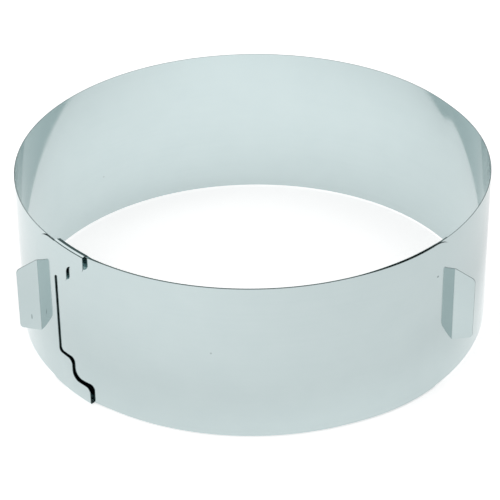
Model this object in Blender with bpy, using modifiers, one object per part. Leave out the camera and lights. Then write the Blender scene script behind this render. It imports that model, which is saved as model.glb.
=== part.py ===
"""Adjustable cake ring of polished spring steel, set for a cake of 24 cm.

One long strip is rolled into a ring, and both of its ends come out on the outside. The outer end
carries the right-hand handle. The other end runs along the inside, comes out through its own
stepped slit and ends in the clasp plate with the left-hand handle. Lips folded over the top and
bottom edges hold the outer run, which slides through the clasp when the ring is set larger or
smaller. The clasp itself is pressed flat. The strip is modelled as two, parted where the outer end
hides the joint.

Each strip is drawn as a flat blank, scored along the facets' edges, then rolled, folded and
given its thickness. Metres, +Z up. The origin is on the ring's axis, in the plane that the ring
stands on. Azimuths run counter-clockwise from +X, seen from above, and the front faces -Y.
"""

import math

import bmesh
import bpy
from mathutils import Vector
from mathutils.geometry import interpolate_bezier

MM = 0.001

# The sheet, and the ring as it is set
SHEET = 0.4 * MM
SLIDE_GAP = 0.3 * MM
HEIGHT = 85 * MM
CAKE_DIAMETER = 240 * MM

# Places round the ring
SLIT_AZIMUTH = math.radians(217.5)
OUTER_END_AZIMUTH = math.radians(324)
EASE_FROM_AZIMUTH = math.radians(-33)
EASE_TO_AZIMUTH = math.radians(-4)

# The outer strip's tail and the inner run's end, which overlap behind the outer end
TAIL_LAP = 14 * MM
INNER_END_SHORT = 5 * MM
HIDDEN_END_CORNER = 12 * MM

# Handles, bent out of the strip's two ends, and the rounded ends above and below them
HANDLE_HEIGHT = 41 * MM
HANDLE_WIDTH = 10.2 * MM
HANDLE_SLANT = 3.9 * MM
HANDLE_CORNER = 2.5 * MM
HANDLE_BEND = math.radians(76)
FOLD_RADIUS = 0.6 * MM
END_CORNER = 16 * MM

# Clasp: the flat plate, its two arms, and the lips folded over the outer strip's edges
PLATE_STAND_OFF = 0.55 * MM
PLATE_LENGTH = 17.9 * MM
ARM_LENGTH = 24.4 * MM
ARM_END_HEIGHT = 6.5 * MM
ARM_END_CORNER = 1.5 * MM
CLASP_DEPTH = 4.6 * MM
CLASP_BEND_RADIUS = 20 * MM
LIP_START = 1.3 * MM
LIP_LEG_SHARE = 0.64

# The slit: a straight part, then a shelf, a drop and a shelf along each arm
SLIT_STRAIGHT = 44.4 * MM
SLIT_DROP_SHARE = 0.475
SLIT_SHELF_SHARE = 0.906
SLIT_TURN = 2 * MM
SLIT_SHELF_TURN = 3 * MM
SLIT_DROP_TURN = 5 * MM
SLIT_END_TURN = 0.6 * MM

# How finely curves are faceted
FACET_ANGLE = math.radians(1.5)
CORNER_STEPS = 6
FOLD_STEPS = 5
BEND_STEPS = 4
LIP_STEPS = 3
SHARP_ANGLE = math.radians(30)
WELD = 0.002 * MM

# Worked out: the layers lie one gap apart, and the strip stands one lip above the clasp's foot
LIP_STEP = SHEET + SLIDE_GAP
MID_HEIGHT = HEIGHT / 2
HALF_STRIP = MID_HEIGHT - LIP_STEP
HALF_HANDLE = HANDLE_HEIGHT / 2
OUTER_RADIUS = CAKE_DIAMETER / 2 + SHEET
TAIL_RADIUS = OUTER_RADIUS - LIP_STEP
FOLD_LENGTH = FOLD_RADIUS * HANDLE_BEND
TAIL_START = -math.tau * OUTER_RADIUS - TAIL_LAP

# Worked out: the clasp's flat, which bends into the inner run's round where it touches that circle
RUN_RADIUS = TAIL_RADIUS - LIP_STEP
PLATE_DISTANCE = OUTER_RADIUS + PLATE_STAND_OFF + SHEET
RUN_DEPTH = CLASP_DEPTH - SHEET
RUN_BEND_DISTANCE = PLATE_DISTANCE - RUN_DEPTH - CLASP_BEND_RADIUS
FLAT_END = math.sqrt((RUN_RADIUS - CLASP_BEND_RADIUS) ** 2 - RUN_BEND_DISTANCE**2)
BEND_TURN = math.atan2(FLAT_END, RUN_BEND_DISTANCE)
BEND_END = FLAT_END + BEND_TURN * (CLASP_BEND_RADIUS + RUN_DEPTH)
BEND_END_AZIMUTH = SLIT_AZIMUTH + BEND_TURN
INNER_END = BEND_END + (OUTER_END_AZIMUTH - BEND_END_AZIMUTH) * OUTER_RADIUS - INNER_END_SHORT


def clear_scene():
    for obj in list(bpy.context.scene.objects):
        bpy.data.objects.remove(obj, do_unlink=True)


def polished_steel(name, colour, roughness):
    """Bright rolled stainless steel."""
    material = bpy.data.materials.new(name)
    material.use_nodes = True
    shader = material.node_tree.nodes["Principled BSDF"]
    shader.inputs["Base Color"].default_value = (*colour, 1)
    shader.inputs["Metallic"].default_value = 1
    shader.inputs["Roughness"].default_value = roughness
    return material


def rounded(corners):
    """An outline through corners given as (along, across, radius), each fillet limited by its edges."""
    outline = []
    for i, (*place, radius) in enumerate(corners):
        corner = Vector(place)
        if not radius:
            outline.append(corner)
            continue
        *before, radius_before = corners[i - 1]
        *after, radius_after = corners[(i + 1) % len(corners)]
        back = Vector(before) - corner
        ahead = Vector(after) - corner
        turn = math.pi - back.angle(ahead)
        reach = min(
            radius * math.tan(turn / 2),
            back.length * radius / (radius + radius_before),
            ahead.length * radius / (radius + radius_after),
        )
        start = corner + back.normalized() * reach
        end = corner + ahead.normalized() * reach
        pull = 4 / 3 * math.tan(turn / 4) / math.tan(turn / 2)
        outline += interpolate_bezier(
            start, start.lerp(corner, pull), end.lerp(corner, pull), end, CORNER_STEPS + 1
        )
    return outline


def mirrored(corners):
    """The same corners on the other side of mid-height, in the opposite order."""
    return [(along, -across, radius) for along, across, radius in reversed(corners)]


def smoothstep(share):
    """A share from 0 to 1 with a soft start and end."""
    share = min(max(share, 0), 1)
    return share * share * (3 - 2 * share)


def azimuths(start, end):
    """Azimuths of the facets' edges: both ends, and each whole facet step between them."""
    first = math.floor(start / FACET_ANGLE) + 1
    last = math.ceil(end / FACET_ANGLE) - 1
    return [start, *(step * FACET_ANGLE for step in range(first, last + 1)), end]


def compass(azimuth):
    """The directions outwards and counter-clockwise at an azimuth."""
    return (
        Vector((math.cos(azimuth), math.sin(azimuth), 0)),
        Vector((-math.sin(azimuth), math.cos(azimuth), 0)),
    )


def handle_stations(start, outward, onward):
    """The fold and the handle beyond it: lengths from the fold's start, points and normals."""
    stations = []
    for step in range(1, FOLD_STEPS + 1):
        bend = HANDLE_BEND * step / FOLD_STEPS
        normal = outward * math.cos(bend) - onward * math.sin(bend)
        point = start + (outward - normal) * FOLD_RADIUS
        stations.append((FOLD_RADIUS * bend, point, normal))
    tip = point + (onward * math.cos(bend) + outward * math.sin(bend)) * HANDLE_WIDTH
    stations.append((FOLD_LENGTH + HANDLE_WIDTH, tip, normal))
    return stations


def outer_strip_path():
    """Stations along the outer strip, measured from its handle's fold, from the eased-in tail on."""
    start = OUTER_END_AZIMUTH + TAIL_START / OUTER_RADIUS
    path = []
    for azimuth in azimuths(start, OUTER_END_AZIMUTH):
        eased = smoothstep((azimuth - EASE_FROM_AZIMUTH) / (EASE_TO_AZIMUTH - EASE_FROM_AZIMUTH))
        radius = TAIL_RADIUS + (OUTER_RADIUS - TAIL_RADIUS) * eased
        outward, onward = compass(azimuth)
        path.append(((azimuth - OUTER_END_AZIMUTH) * OUTER_RADIUS, outward * radius, outward))
    return path + handle_stations(outward * OUTER_RADIUS, outward, onward)


def clasp_strip_path():
    """Stations along the clasp strip, measured from the slit's straight part, on the plate's outer
    face: the handle, the flat, the bend and the inner run's round."""
    outward, onward = compass(SLIT_AZIMUTH)
    plate_end = outward * PLATE_DISTANCE - onward * PLATE_LENGTH
    path = []
    for length, point, normal in reversed(handle_stations(plate_end, outward, -onward)):
        path.append((-PLATE_LENGTH - length, point, normal))
    path.append((-PLATE_LENGTH, plate_end, outward))
    bend_centre = outward * RUN_BEND_DISTANCE + onward * FLAT_END
    reach = CLASP_BEND_RADIUS + RUN_DEPTH
    for step in range(BEND_STEPS + 1):
        turn = BEND_TURN * step / BEND_STEPS
        normal = outward * math.cos(turn) + onward * math.sin(turn)
        path.append((FLAT_END + turn * reach, bend_centre + normal * reach, normal))
    run_end = BEND_END_AZIMUTH + (INNER_END - BEND_END) / OUTER_RADIUS
    for azimuth in azimuths(BEND_END_AZIMUTH, run_end)[1:]:
        normal, _ = compass(azimuth)
        length = BEND_END + (azimuth - BEND_END_AZIMUTH) * OUTER_RADIUS
        path.append((length, normal * (RUN_RADIUS + RUN_DEPTH), normal))
    return path


def flat_section():
    """A strip without lips: its lengths across are heights from mid-height."""
    return [(-HALF_STRIP, 0, -HALF_STRIP), (HALF_STRIP, 0, HALF_STRIP)]


def lipped_section():
    """Across the clasp: up the plate, over the top lip and down the inner face, and the same below.

    Each point has its length across the blank, its depth inside the plate's outer face and its
    height from mid-height.
    """
    half = []
    for centre, start in ((LIP_STEP, math.pi), (CLASP_DEPTH - LIP_STEP, math.pi / 2)):
        for step in range(LIP_STEPS + 1):
            turn = start - math.pi / 2 * step / LIP_STEPS
            half.append((centre + LIP_STEP * math.cos(turn), HALF_STRIP + LIP_STEP * math.sin(turn)))
    half.append((CLASP_DEPTH, 0))
    above = [(HALF_STRIP, 0, HALF_STRIP)]
    for (depth_before, height_before), (depth_here, height_here) in zip(half, half[1:]):
        length = math.hypot(depth_here - depth_before, height_here - height_before)
        above.append((above[-1][0] + length, depth_here, height_here))
    below = [(-across, inward, -height) for across, inward, height in reversed(above)]
    return below + above


def between(table, length):
    """The table's entries at a length, read off in straight lines."""
    for here, there in zip(table, table[1:]):
        if length <= there[0]:
            break
    share = (length - here[0]) / (there[0] - here[0])
    return [a + (b - a) * share for a, b in zip(here[1:], there[1:])]


def strip(name, outline, path, section, material, parts):
    """Cuts a blank to its outline, scores it, rolls and folds it, and gives it its thickness."""
    blank = bmesh.new()
    blank.faces.new([blank.verts.new((*place, 0)) for place in outline])
    for scores, direction in ((path, Vector((1, 0, 0))), (section, Vector((0, 1, 0)))):
        for length, *_ in scores[1:-1]:
            bmesh.ops.bisect_plane(
                blank,
                geom=blank.verts[:] + blank.edges[:] + blank.faces[:],
                dist=WELD,
                plane_co=direction * length,
                plane_no=direction,
            )
    for vert in blank.verts:
        point, normal = between(path, vert.co.x)
        inward, height = between(section, vert.co.y)
        vert.co = point - normal * inward + Vector((0, 0, MID_HEIGHT + height))
    bmesh.ops.remove_doubles(blank, verts=blank.verts[:], dist=WELD)
    mesh = bpy.data.meshes.new(name)
    blank.to_mesh(mesh)
    blank.free()
    mesh.materials.append(material)
    mesh.shade_smooth()
    mesh.set_sharp_from_angle(angle=SHARP_ANGLE)
    made = bpy.data.objects.new(name, mesh)
    parts.objects.link(made)
    sheet = made.modifiers.new("sheet", "SOLIDIFY")
    sheet.thickness = SHEET
    sheet.offset = -1
    sheet.use_even_offset = True
    return made


def handle_corners(fold, side):
    """The handle's corners, foot first, from the fold line on."""
    end = fold + side * (FOLD_LENGTH + HANDLE_WIDTH)
    bent = fold + side * FOLD_LENGTH
    return [
        (fold, -HALF_HANDLE, 0),
        (bent, -HALF_HANDLE, 0),
        (end, HANDLE_SLANT - HALF_HANDLE, HANDLE_CORNER),
        (end, HALF_HANDLE - HANDLE_SLANT, HANDLE_CORNER),
        (bent, HALF_HANDLE, 0),
        (fold, HALF_HANDLE, 0),
    ]


def outer_strip_outline():
    return rounded([
        (TAIL_START, -HALF_STRIP, HIDDEN_END_CORNER),
        (0, -HALF_STRIP, END_CORNER),
        *handle_corners(0, 1),
        (0, HALF_STRIP, END_CORNER),
        (TAIL_START, HALF_STRIP, HIDDEN_END_CORNER),
    ])


def clasp_strip_outline(section):
    """The plate and its arms and, over the lips, the inner run, whose halves meet at mid-height."""
    seam = section[-1][0]
    inner_rim = seam - HALF_STRIP
    half_slit = SLIT_STRAIGHT / 2
    arm_end = MID_HEIGHT - ARM_END_HEIGHT
    shelf = arm_end + (half_slit - arm_end) * SLIT_SHELF_SHARE
    drop = ARM_LENGTH * SLIT_DROP_SHARE
    leg = ARM_END_HEIGHT * LIP_LEG_SHARE
    neck = ARM_LENGTH - leg
    leg_end = seam - (MID_HEIGHT - leg)
    above = [
        (0, half_slit, SLIT_TURN),
        (drop, shelf, SLIT_SHELF_TURN),
        (drop, arm_end, SLIT_DROP_TURN),
        (ARM_LENGTH, arm_end, ARM_END_CORNER),
        (ARM_LENGTH, inner_rim, 0),
        (INNER_END, inner_rim, HIDDEN_END_CORNER),
        (INNER_END, seam, 0),
        (0, seam, 0),
        (0, seam - half_slit, SLIT_TURN),
        (drop, seam - shelf, SLIT_SHELF_TURN),
        (drop, seam - arm_end, SLIT_DROP_TURN),
        (neck, seam - arm_end, SLIT_END_TURN),
        (neck, leg_end, SLIT_END_TURN),
        (LIP_START, leg_end, 0),
        (LIP_START, HALF_STRIP, 0),
        (-PLATE_LENGTH, HALF_STRIP, END_CORNER),
    ]
    handle = reversed(handle_corners(-PLATE_LENGTH, -1))
    return rounded([*above, *handle, *mirrored(above)])


clear_scene()
parts = bpy.data.collections.new("adjustable_cake_ring")
bpy.context.scene.collection.children.link(parts)

outer_strip = strip(
    "outer_strip",
    outer_strip_outline(),
    outer_strip_path(),
    flat_section(),
    polished_steel("polished_steel", (0.61, 0.69, 0.70), 0.12),
    parts,
)

# The clasp's origin stays on the ring's axis, about which it travels
clasp_strip = strip(
    "clasp_strip",
    clasp_strip_outline(lipped_section()),
    clasp_strip_path(),
    lipped_section(),
    polished_steel("polished_steel_clasp", (0.63, 0.71, 0.72), 0.12),
    parts,
)
clasp_strip.parent = outer_strip
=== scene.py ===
"""The adjustable cake ring's looks: polished spring steel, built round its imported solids.

One long strip is rolled into a ring and its two ends come out on the outside as handles. It is shown
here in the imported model's two parts, the outer strip and the clasp strip that travels round it.
"""

import math

import bmesh
import bpy
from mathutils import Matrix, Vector
from mathutils.geometry import interpolate_bezier


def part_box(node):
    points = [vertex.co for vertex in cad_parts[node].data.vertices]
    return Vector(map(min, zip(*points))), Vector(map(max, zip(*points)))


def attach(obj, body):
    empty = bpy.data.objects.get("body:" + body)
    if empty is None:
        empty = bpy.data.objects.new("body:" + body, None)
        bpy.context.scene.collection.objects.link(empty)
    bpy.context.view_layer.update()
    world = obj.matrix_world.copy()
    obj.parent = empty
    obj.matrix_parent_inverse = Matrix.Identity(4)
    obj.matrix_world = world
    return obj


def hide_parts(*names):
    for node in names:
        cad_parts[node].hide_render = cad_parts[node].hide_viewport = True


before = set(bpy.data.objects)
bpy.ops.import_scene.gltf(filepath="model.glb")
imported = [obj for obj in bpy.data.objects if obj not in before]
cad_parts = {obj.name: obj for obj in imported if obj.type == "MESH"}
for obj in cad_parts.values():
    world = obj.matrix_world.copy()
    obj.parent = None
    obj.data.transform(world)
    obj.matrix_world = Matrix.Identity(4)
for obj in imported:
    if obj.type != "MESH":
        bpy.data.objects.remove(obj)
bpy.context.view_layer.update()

# Outer strip
# The ring's outer run: a ribbon of 0.4 mm spring steel with sheared edges, rolled round the cake, and
# pressed in a little at its front and at a blunt crease. Its tail eases inwards behind the outer end,
# which is bent out into the right-hand handle.

MM = 0.001
sheet_gauge = 0.4 * MM
slide_gap = 0.3 * MM
lip_step = sheet_gauge + slide_gap
band_foot, band_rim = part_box("outer_strip")
band_radius = (band_rim.x - band_foot.x) / 2
mid_height = (band_foot.z + band_rim.z) / 2
half_band = (band_rim.z - band_foot.z) / 2
tail_radius = band_radius - lip_step
outer_end = math.radians(324)
tail_overlap = 14 * MM
tail_start = -math.tau * band_radius - tail_overlap
tail_eases = (math.radians(-33), math.radians(-4))
front_eases = (math.radians(226), math.radians(236), math.radians(290), math.radians(308))
front_press = 0.65 * MM
# The outer end stays pressed in as far as its fold, so the last two azimuths lie past it.
end_eases = (math.radians(311), math.radians(317), math.radians(360), math.radians(417))
end_press = 0.2 * MM
crease = math.radians(29.3)
crease_bend = math.radians(2.2)
crease_reach = math.radians(25)
crease_depth = 0.7 * MM
roll_step = math.radians(0.5)
corner_steps = 14
hair = 0.002 * MM
sharp_edge = math.radians(30)

handle_height = 41 * MM
handle_width = 10.1 * MM
handle_slant = 3.9 * MM
handle_corner = 2.5 * MM
handle_bend = math.radians(78.5)
fold_radius = 0.35 * MM
fold_steps = 10
fold_length = fold_radius * handle_bend
end_corner = 16 * MM
hidden_corner = 3 * MM


def rounded(corners):
    """A blank's outline through (along, across, radius), with each radius limited by its edges."""
    outline = []
    for i, (*place, radius) in enumerate(corners):
        corner = Vector(place)
        if not radius:
            outline.append(corner)
            continue
        *before, radius_before = corners[i - 1]
        *after, radius_after = corners[(i + 1) % len(corners)]
        back = Vector(before) - corner
        ahead = Vector(after) - corner
        turn = math.pi - back.angle(ahead)
        reach = min(
            radius * math.tan(turn / 2),
            back.length * radius / (radius + radius_before),
            ahead.length * radius / (radius + radius_after),
        )
        start = corner + back.normalized() * reach
        end = corner + ahead.normalized() * reach
        # A cubic curve follows an arc most closely with its handles pulled this far to the corner.
        pull = 4 / 3 * math.tan(turn / 4) / math.tan(turn / 2)
        outline += interpolate_bezier(
            start, start.lerp(corner, pull), end.lerp(corner, pull), end, corner_steps + 1
        )
    return outline


def eased(share):
    """A share from 0 to 1 with a soft start and end."""
    share = min(max(share, 0), 1)
    return share * share * (3 - 2 * share)


def pressed(azimuth, eases):
    """How far a stretch is pressed in, from 0 up to 1 and back to 0, between four azimuths."""
    begins, full, lets_go, ends = eases
    return eased((azimuth - begins) / (full - begins)) - eased((azimuth - lets_go) / (ends - lets_go))


def creased(azimuth):
    """How far the blunt crease presses the strip in, from 1 at the crease down to 0 at its reach."""
    away = math.hypot(azimuth - crease, crease_bend) - crease_bend
    return max(1 - away / crease_reach, 0) ** 2


def rolled(start, end):
    """Azimuths from start to end, one for each step of the roll."""
    first = math.floor(start / roll_step) + 1
    last = math.ceil(end / roll_step) - 1
    return [start, *(step * roll_step for step in range(first, last + 1)), end]


def compass(azimuth):
    """The directions outwards and counter-clockwise at an azimuth."""
    return (
        Vector((math.cos(azimuth), math.sin(azimuth), 0)),
        Vector((-math.sin(azimuth), math.cos(azimuth), 0)),
    )


def bent_handle(start, outward, onward):
    """Along the fold and out to the handle's free edge: lengths, points and normals."""
    stations = []
    for step in range(1, fold_steps + 1):
        bend = handle_bend * step / fold_steps
        normal = outward * math.cos(bend) - onward * math.sin(bend)
        point = start + (outward - normal) * fold_radius
        stations.append((fold_radius * bend, point, normal))
    tip = point + (onward * math.cos(bend) + outward * math.sin(bend)) * handle_width
    stations.append((fold_length + handle_width, tip, normal))
    return stations


def handle_corners(fold, side):
    """A handle's corners on the blank, foot first."""
    end = fold + side * (fold_length + handle_width)
    bent = fold + side * fold_length
    half = handle_height / 2
    return [
        (fold, -half, 0),
        (bent, -half, 0),
        (end, handle_slant - half, handle_corner),
        (end, half - handle_slant, handle_corner),
        (bent, half, 0),
        (fold, half, 0),
    ]


def outer_strip_path():
    """Stations from the tail, round the ring and out along the handle."""
    eases_from, eases_to = tail_eases
    path = []
    for azimuth in rolled(outer_end + tail_start / band_radius, outer_end):
        out = eased((azimuth - eases_from) / (eases_to - eases_from))
        outward, onward = compass(azimuth)
        radius = tail_radius + lip_step * out
        radius -= front_press * pressed(azimuth, front_eases) + end_press * pressed(azimuth, end_eases)
        radius -= crease_depth * creased(azimuth)
        path.append(((azimuth - outer_end) * band_radius, outward * radius, outward))
    return path + bent_handle(outward * radius, outward, onward)


def read_off(table, length):
    """A table's entries at a length, in straight lines."""
    for here, there in zip(table, table[1:]):
        if length <= there[0]:
            break
    share = (length - here[0]) / (there[0] - here[0])
    return [a + (b - a) * share for a, b in zip(here[1:], there[1:])]


def form_strip(name, outline, path, section, finishes):
    """Cuts a blank, scores it, rolls and folds it, and gives it its gauge."""
    blank = bmesh.new()
    blank.faces.new([blank.verts.new((*place, 0)) for place in outline])
    for scores, direction in ((path, Vector((1, 0, 0))), (section, Vector((0, 1, 0)))):
        for length, *_ in scores[1:-1]:
            bmesh.ops.bisect_plane(
                blank,
                geom=blank.verts[:] + blank.edges[:] + blank.faces[:],
                dist=hair,
                plane_co=direction * length,
                plane_no=direction,
            )
    on_blank = blank.verts.layers.float_vector.new("on_blank")
    for vert in blank.verts:
        vert[on_blank] = vert.co
        point, normal = read_off(path, vert.co.x)
        inward, height = read_off(section, vert.co.y)
        vert.co = point - normal * inward + Vector((0, 0, mid_height + height))
    bmesh.ops.remove_doubles(blank, verts=blank.verts[:], dist=hair)
    mesh = bpy.data.meshes.new(name)
    blank.to_mesh(mesh)
    blank.free()
    for finish in finishes:
        mesh.materials.append(finish)
    made = bpy.data.objects.new(name, mesh)
    bpy.context.scene.collection.objects.link(made)
    gauge = made.modifiers.new("gauge", "SOLIDIFY")
    gauge.thickness = sheet_gauge
    gauge.offset = -1
    gauge.use_even_offset = True
    gauge.material_offset_rim = 1
    made.data = bpy.data.meshes.new_from_object(
        made.evaluated_get(bpy.context.evaluated_depsgraph_get())
    )
    made.modifiers.clear()
    made.data.shade_smooth()
    made.data.set_sharp_from_angle(angle=sharp_edge)
    return made


# A Mix node's colour sockets have the same names as its other kinds, so they go by number.
first_colour = 6
second_colour = 7
mixed_colour = 2


def polished_steel(name, dent_shades):
    """Bright rolled spring steel: faint lines along the roll, handling marks, specks, and painted shade
    of small dent marks.

    Each dent mark's shade is painted as a dark spot in the colour, not shaped in the sheet; it is given
    by its middle on the blank and its half width and half height.
    """
    lines_per_metre = (6, 700, 1)
    marks_per_metre = 60
    specks_per_metre = 45
    speck_reach = 0.022
    dull_tone = (0.528, 0.612, 0.617, 1)
    bright_tone = (0.548, 0.630, 0.634, 1)
    speck_tone = (0.36, 0.43, 0.43, 1)
    dent_shade_tone = (0.2, 0.26, 0.27, 1)
    line_depth = 0.02 * MM
    material = bpy.data.materials.new(name)
    material.use_nodes = True
    nodes = material.node_tree.nodes
    link = material.node_tree.links.new
    shader = nodes["Principled BSDF"]
    shader.inputs["Metallic"].default_value = 1
    place = nodes.new("ShaderNodeAttribute")
    place.attribute_name = "on_blank"

    along_roll = nodes.new("ShaderNodeMapping")
    along_roll.inputs["Scale"].default_value = lines_per_metre
    link(place.outputs["Vector"], along_roll.inputs["Vector"])
    lines = nodes.new("ShaderNodeTexNoise")
    lines.inputs["Scale"].default_value = 1
    lines.inputs["Detail"].default_value = 3
    link(along_roll.outputs["Vector"], lines.inputs["Vector"])

    marks = nodes.new("ShaderNodeTexNoise")
    marks.inputs["Scale"].default_value = marks_per_metre
    marks.inputs["Detail"].default_value = 5
    link(place.outputs["Vector"], marks.inputs["Vector"])

    cloud = nodes.new("ShaderNodeMix")
    cloud.inputs["Factor"].default_value = 0.7
    link(lines.outputs["Fac"], cloud.inputs["A"])
    link(marks.outputs["Fac"], cloud.inputs["B"])
    tone = nodes.new("ShaderNodeValToRGB")
    tone.color_ramp.elements[0].position = 0.3
    tone.color_ramp.elements[0].color = dull_tone
    tone.color_ramp.elements[1].position = 0.7
    tone.color_ramp.elements[1].color = bright_tone
    link(cloud.outputs["Result"], tone.inputs["Fac"])

    specks = nodes.new("ShaderNodeTexVoronoi")
    specks.inputs["Scale"].default_value = specks_per_metre
    link(place.outputs["Vector"], specks.inputs["Vector"])
    chance = nodes.new("ShaderNodeSeparateColor")
    link(specks.outputs["Color"], chance.inputs["Color"])
    reach = nodes.new("ShaderNodeMapRange")
    reach.inputs["From Min"].default_value = 0.45
    reach.inputs["To Max"].default_value = speck_reach
    link(chance.outputs["Red"], reach.inputs["Value"])
    within = nodes.new("ShaderNodeMath")
    within.operation = "LESS_THAN"
    link(specks.outputs["Distance"], within.inputs[0])
    link(reach.outputs["Result"], within.inputs[1])
    spotted = nodes.new("ShaderNodeMix")
    spotted.data_type = "RGBA"
    link(within.outputs["Value"], spotted.inputs["Factor"])
    link(tone.outputs["Color"], spotted.inputs[first_colour])
    spotted.inputs[second_colour].default_value = speck_tone
    surface = spotted.outputs[mixed_colour]
    # Painted shade: each dent mark is a dark elliptical spot in the colour, while the sheet stays
    # smooth.
    for along, across, half_width, half_height in dent_shades:
        offset = nodes.new("ShaderNodeVectorMath")
        offset.operation = "SUBTRACT"
        offset.inputs[1].default_value = (along, across, 0)
        link(place.outputs["Vector"], offset.inputs[0])
        scaled = nodes.new("ShaderNodeVectorMath")
        scaled.operation = "DIVIDE"
        scaled.inputs[1].default_value = (half_width, half_height, 1)
        link(offset.outputs["Vector"], scaled.inputs[0])
        out_from = nodes.new("ShaderNodeVectorMath")
        out_from.operation = "LENGTH"
        link(scaled.outputs["Vector"], out_from.inputs[0])
        inside = nodes.new("ShaderNodeMath")
        inside.operation = "LESS_THAN"
        inside.inputs[1].default_value = 1
        link(out_from.outputs["Value"], inside.inputs[0])
        dent_shaded = nodes.new("ShaderNodeMix")
        dent_shaded.data_type = "RGBA"
        link(inside.outputs["Value"], dent_shaded.inputs["Factor"])
        link(surface, dent_shaded.inputs[first_colour])
        dent_shaded.inputs[second_colour].default_value = dent_shade_tone
        surface = dent_shaded.outputs[mixed_colour]
    link(surface, shader.inputs["Base Color"])

    gloss = nodes.new("ShaderNodeMapRange")
    gloss.inputs["From Min"].default_value = 0.3
    gloss.inputs["From Max"].default_value = 0.7
    gloss.inputs["To Min"].default_value = 0.06
    gloss.inputs["To Max"].default_value = 0.11
    link(marks.outputs["Fac"], gloss.inputs["Value"])
    link(gloss.outputs["Result"], shader.inputs["Roughness"])

    relief = nodes.new("ShaderNodeBump")
    relief.inputs["Strength"].default_value = 0.02
    relief.inputs["Distance"].default_value = line_depth
    link(lines.outputs["Fac"], relief.inputs["Height"])
    link(relief.outputs["Normal"], shader.inputs["Normal"])
    return material


def sheared_edge(name):
    """The cut through the sheet, duller than its faces, with the shear's fine tear, and darker, partly
    as the torn shear and partly as painted shade for the thin dark lines along its edges and gaps.
    """
    tears_per_metre = 900
    # Partly painted shade: these tones are darker than the torn shear alone, to draw the dark lines at
    # the edges and gaps.
    torn_and_shaded_tone = (0.125, 0.165, 0.165, 1)
    cut_and_shaded_tone = (0.275, 0.35, 0.35, 1)
    material = bpy.data.materials.new(name)
    material.use_nodes = True
    nodes = material.node_tree.nodes
    link = material.node_tree.links.new
    shader = nodes["Principled BSDF"]
    shader.inputs["Metallic"].default_value = 1
    shader.inputs["Roughness"].default_value = 0.5
    place = nodes.new("ShaderNodeTexCoord")
    tear = nodes.new("ShaderNodeTexNoise")
    tear.inputs["Scale"].default_value = tears_per_metre
    link(place.outputs["Object"], tear.inputs["Vector"])
    tone = nodes.new("ShaderNodeValToRGB")
    tone.color_ramp.elements[0].color = torn_and_shaded_tone
    tone.color_ramp.elements[1].color = cut_and_shaded_tone
    link(tear.outputs["Fac"], tone.inputs["Fac"])
    link(tone.outputs["Color"], shader.inputs["Base Color"])
    return material


# A spot of painted shade for a small dent mark, high on the band just before the right-hand handle.
band_dent_shade = (-14.5 * MM, 23.4 * MM, 0.6 * MM, 0.5 * MM)
steel = polished_steel("outer_strip_steel", [band_dent_shade])
cut = sheared_edge("sheared_edge")
ribbon = rounded([
    (tail_start, -half_band, hidden_corner),
    (0, -half_band, end_corner),
    *handle_corners(0, 1),
    (0, half_band, end_corner),
    (tail_start, half_band, hidden_corner),
])
plain_section = [(-half_band, 0, -half_band), (half_band, 0, half_band)]
outer_strip = form_strip("outer_strip_steel", ribbon, outer_strip_path(), plain_section, [steel, cut])
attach(outer_strip, "ring")
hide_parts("outer_strip")

# Clasp strip
# The same ribbon's other end. Its inner run lies inside the ring and carries two lips that fold over
# the rims, and outside them the gently curved clasp plate. The stepped slit and two arms are cut in one
# stroke, and the plate's free end is bent out into the left-hand handle.

slit_azimuth = math.radians(217.9)
plate_lift = 0.6 * MM
plate_distance = band_radius + plate_lift
plate_radius = 145 * MM
plate_rests = math.radians(-8)
plate_fold = math.radians(-8.9)
clasp_depth = 3.7 * MM
run_depth = clasp_depth - sheet_gauge
run_gap = 0.1 * MM
run_radius = tail_radius - sheet_gauge - run_gap
run_springs = (math.radians(10.2), math.radians(13))
run_slack = 0.25 * MM
slack_eases = (math.radians(75), math.radians(85), math.radians(97), math.radians(101))
run_shortfall = 5 * MM
run_end = outer_end - slit_azimuth - run_shortfall / band_radius
slope_start = 1.5 * MM
slope_radius = 0.8 * MM
slope_turn = math.radians(11.5)
lip_steps = 6


def lipped_section():
    """Across the clasp: up the plate, over the lip and down the inner run, and the same below.

    The lip turns over tightly outside, then slopes down and turns tightly into the inner run.
    """
    crest = slope_start + slope_radius * math.sin(slope_turn)
    crest_height = lip_step - slope_radius * (1 - math.cos(slope_turn))
    fall = math.tan(slope_turn)
    tight = (crest_height - (clasp_depth - crest) * fall) / (
        math.cos(slope_turn) - (1 - math.sin(slope_turn)) * fall
    )
    quarter = math.pi / 2
    half = []
    for depth, height, radius, start, end in (
        (lip_step, 0, lip_step, math.pi, quarter),
        (slope_start, lip_step - slope_radius, slope_radius, quarter, quarter - slope_turn),
        (clasp_depth - tight, 0, tight, quarter - slope_turn, 0),
    ):
        for step in range(lip_steps + 1):
            turn = start + (end - start) * step / lip_steps
            half.append((depth + radius * math.cos(turn), half_band + height + radius * math.sin(turn)))
    half.append((clasp_depth, 0))
    above = [(half_band, 0, half_band)]
    for (depth_before, height_before), (depth_here, height_here) in zip(half, half[1:]):
        length = math.hypot(depth_here - depth_before, height_here - height_before)
        if length > hair:
            above.append((above[-1][0] + length, depth_here, height_here))
    below = [(-across, inward, -height) for across, inward, height in reversed(above)]
    return below + above


def clasp_reference(turn):
    """The plate's outer face at a turn from the slit, and past the arms a line outside the inner run."""
    inset = plate_radius - plate_distance
    off = turn - plate_rests
    on_plate = math.sqrt(plate_radius**2 - (inset * math.sin(off)) ** 2) - inset * math.cos(off)
    springs_from, springs_to = run_springs
    sprung = eased((turn - springs_from) / (springs_to - springs_from))
    on_run = run_radius + run_depth - run_slack * pressed(turn, slack_eases)
    outward, _ = compass(slit_azimuth + turn)
    return outward * (on_plate + (on_run - on_plate) * sprung)


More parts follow.
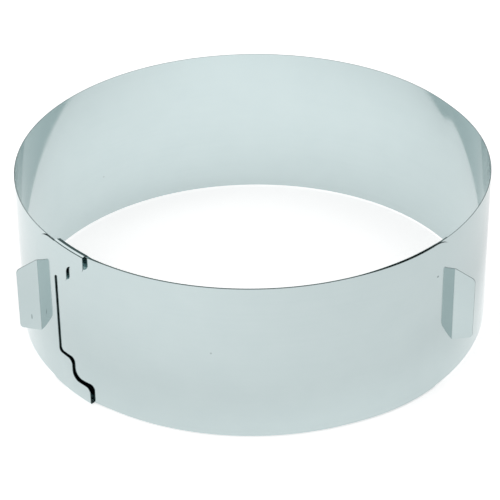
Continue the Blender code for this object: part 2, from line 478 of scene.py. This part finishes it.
def clasp_stations():
    """Along the plate from its fold, and on along the inner run, with lengths from the slit."""
    turns = rolled(plate_fold, run_end)
    points = [clasp_reference(turn) for turn in turns]
    lengths = [0]
    normals = []
    for i, point in enumerate(points):
        before = points[max(i - 1, 0)]
        after = points[min(i + 1, len(points) - 1)]
        onward = (after - before).normalized()
        normals.append(Vector((onward.y, -onward.x, 0)))
        lengths.append(lengths[-1] + (after - point).length)
    slit_length = lengths[turns.index(0)]
    return [(length - slit_length, *place) for length, *place in zip(lengths, points, normals)]


arm_length = 23 * MM
arm_end_height = 9.2 * MM
arm_end_corner = 3 * MM
lip_start = 1.3 * MM
lip_leg = 4.2 * MM
plate_edge = -0.7 * MM
half_slit = 22.5 * MM
drop = 9.85 * MM
slit_turn = 2 * MM
shelf_turn = 3 * MM
drop_turn = 5 * MM
slit_end_turn = 0.6 * MM

folds = lipped_section()
seam = folds[-1][0]
inner_rim = seam - half_band
arm_end = mid_height - arm_end_height
leg_end = seam - (mid_height - lip_leg)
neck = arm_length - lip_leg
run = clasp_stations()
plate_start, plate_end_point, plate_end_normal = run[0]
inner_end = run[-1][0]
backward = Vector((plate_end_normal.y, -plate_end_normal.x, 0))
handle = bent_handle(plate_end_point, plate_end_normal, backward)
clasp_path = [(plate_start - length, *place) for length, *place in reversed(handle)] + run
above = [
    (plate_edge, half_slit, slit_turn),
    (drop, half_slit, shelf_turn),
    (drop, arm_end, drop_turn),
    (arm_length, arm_end, arm_end_corner),
    (arm_length, inner_rim, 0),
    (inner_end, inner_rim, hidden_corner),
    (inner_end, seam, 0),
    (0, seam, 0),
    (0, seam - half_slit, slit_turn),
    (drop, seam - half_slit, shelf_turn),
    (drop, seam - arm_end, drop_turn),
    (neck, seam - arm_end, slit_end_turn),
    (neck, leg_end, slit_end_turn),
    (lip_start, leg_end, 0),
    (lip_start, half_band, 0),
    (plate_start, half_band, end_corner),
]
below = [(along, -across, radius) for along, across, radius in reversed(above)]
clasp_blank = rounded([*above, *reversed(handle_corners(plate_start, -1)), *below])
# A narrow spot of painted shade for a small dent mark, low on the left-hand handle's face.
handle_dent_shade = (plate_start - fold_length - 4.1 * MM, -11.7 * MM, 0.2 * MM, 1.5 * MM)
clasp_steel = polished_steel("clasp_strip_steel", [handle_dent_shade])
clasp_strip = form_strip("clasp_strip_steel", clasp_blank, clasp_path, folds, [clasp_steel, cut])
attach(clasp_strip, "clasp")
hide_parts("clasp_strip")

# Table and studio
# A plain white table top in a white tent, as for a catalogue picture, with two large soft lamps that
# lay a faint shadow at the ring's foot. What the steel mirrors is white overhead and over the back,
# dark low down and in front, and a bright pool of table inside the ring.

floor_reach = 4.0
paper_tone = (0.8, 0.8, 0.8, 1)
paper_lift = 0.6
# Painted light: a pool of glow on the table that only reflections see. It is bright inside the ring and
# falls from left to right outside it.
pool_radius = 100 * MM
pool_fade = 160 * MM
pool_glow = 0.70
table_left = -100 * MM
table_right = 300 * MM
left_glow = 0.50
right_glow = 0.34
floor_mesh = bpy.data.meshes.new("table_top")
floor_mesh.from_pydata(
    [(x * floor_reach, y * floor_reach, 0) for x, y in ((-1, -1), (1, -1), (1, 1), (-1, 1))],
    [],
    [(0, 1, 2, 3)],
)
table_top = bpy.data.objects.new("table_top", floor_mesh)
bpy.context.scene.collection.objects.link(table_top)

paper = bpy.data.materials.new("white_paper")
paper.use_nodes = True
nodes = paper.node_tree.nodes
link = paper.node_tree.links.new
nodes.clear()
out = nodes.new("ShaderNodeOutputMaterial")
matt = nodes.new("ShaderNodeBsdfDiffuse")
matt.inputs["Color"].default_value = paper_tone
glow = nodes.new("ShaderNodeEmission")
rays = nodes.new("ShaderNodeLightPath")
place = nodes.new("ShaderNodeTexCoord")
from_axis = nodes.new("ShaderNodeVectorMath")
from_axis.operation = "LENGTH"
link(place.outputs["Object"], from_axis.inputs[0])
pool = nodes.new("ShaderNodeMapRange")
pool.interpolation_type = "SMOOTHSTEP"
pool.inputs["From Min"].default_value = pool_radius
pool.inputs["From Max"].default_value = pool_fade
pool.inputs["To Min"].default_value = pool_glow
link(from_axis.outputs["Value"], pool.inputs["Value"])
across = nodes.new("ShaderNodeSeparateXYZ")
link(place.outputs["Object"], across.inputs["Vector"])
from_left = nodes.new("ShaderNodeMapRange")
from_left.inputs["From Min"].default_value = table_left
from_left.inputs["From Max"].default_value = table_right
from_left.inputs["To Min"].default_value = left_glow
from_left.inputs["To Max"].default_value = right_glow
link(across.outputs["X"], from_left.inputs["Value"])
link(from_left.outputs["Result"], pool.inputs["To Max"])
mirrored = nodes.new("ShaderNodeMath")
mirrored.operation = "MULTIPLY"
link(pool.outputs["Result"], mirrored.inputs[0])
link(rays.outputs["Is Glossy Ray"], mirrored.inputs[1])
lift = nodes.new("ShaderNodeMath")
lift.operation = "MULTIPLY_ADD"
lift.inputs[1].default_value = paper_lift
link(rays.outputs["Is Camera Ray"], lift.inputs[0])
link(mirrored.outputs["Value"], lift.inputs[2])
link(lift.outputs["Value"], glow.inputs["Strength"])
both = nodes.new("ShaderNodeAddShader")
link(matt.outputs["BSDF"], both.inputs[0])
link(glow.outputs["Emission"], both.inputs[1])
link(both.outputs["Shader"], out.inputs["Surface"])
floor_mesh.materials.append(paper)

forward_lean = 0.6
skirt_tone = (0.08, 0.11, 0.11, 1)
cloth_tone = (1, 1, 1, 1)
even_level = 0.55
camera_level = 0.45
mirrored_level = 0.7
tent = bpy.data.worlds.new("white_tent")
bpy.context.scene.world = tent
tent.use_nodes = True
nodes = tent.node_tree.nodes
link = tent.node_tree.links.new
backdrop = nodes["Background"]
rays = nodes.new("ShaderNodeLightPath")
place = nodes.new("ShaderNodeTexCoord")
direction = nodes.new("ShaderNodeSeparateXYZ")
link(place.outputs["Generated"], direction.inputs["Vector"])
leaning = nodes.new("ShaderNodeMath")
leaning.operation = "MULTIPLY_ADD"
leaning.inputs[1].default_value = forward_lean
link(direction.outputs["Y"], leaning.inputs[0])
link(direction.outputs["Z"], leaning.inputs[2])
skirt = nodes.new("ShaderNodeValToRGB")
skirt.color_ramp.elements[0].position = 0.9
skirt.color_ramp.elements[0].color = skirt_tone
skirt.color_ramp.elements[1].position = 0.98
skirt.color_ramp.elements[1].color = cloth_tone
link(leaning.outputs["Value"], skirt.inputs["Fac"])
plain = nodes.new("ShaderNodeMix")
plain.data_type = "RGBA"
link(rays.outputs["Is Glossy Ray"], plain.inputs["Factor"])
plain.inputs[first_colour].default_value = cloth_tone
link(skirt.outputs["Color"], plain.inputs[second_colour])
link(plain.outputs[mixed_colour], backdrop.inputs["Color"])
seen = nodes.new("ShaderNodeMath")
seen.operation = "MULTIPLY_ADD"
seen.inputs[1].default_value = camera_level
seen.inputs[2].default_value = even_level
link(rays.outputs["Is Camera Ray"], seen.inputs[0])
level = nodes.new("ShaderNodeMath")
level.operation = "MULTIPLY_ADD"
level.inputs[1].default_value = mirrored_level
link(rays.outputs["Is Glossy Ray"], level.inputs[0])
link(seen.outputs["Value"], level.inputs[2])
link(level.outputs["Value"], backdrop.inputs["Strength"])

for name, place, size, power in (
    ("lamp_left", (-0.9, -0.5, 1.2), 0.9, 5),
    ("lamp_right", (0.8, 0.3, 1.3), 1.1, 4),
):
    lamp = bpy.data.lights.new(name, "AREA")
    lamp.size = size
    lamp.energy = power
    softbox = bpy.data.objects.new(name, lamp)
    softbox.location = place
    softbox.rotation_euler = (-Vector(place)).to_track_quat("-Z", "Y").to_euler()
    softbox.visible_glossy = False
    bpy.context.scene.collection.objects.link(softbox)

# Camera
# Where the photograph was taken from, found from the ring's two rims.

camera_place = (0, -0.92481, 0.60723)
camera_degrees = (58.077, 0.5689, -0.24391)
lens = bpy.data.cameras.new("camera")
lens.sensor_width = 36
lens.lens = 150.921
camera = bpy.data.objects.new("camera", lens)
camera.location = camera_place
camera.rotation_euler = [math.radians(angle) for angle in camera_degrees]
bpy.context.scene.collection.objects.link(camera)
bpy.context.scene.camera = camera
bpy.context.scene.view_settings.view_transform = "Standard"
# At the view's left and right edges the light runs on round the inside of the ring, wall to wall.
bpy.context.scene.cycles.glossy_bounces = 12
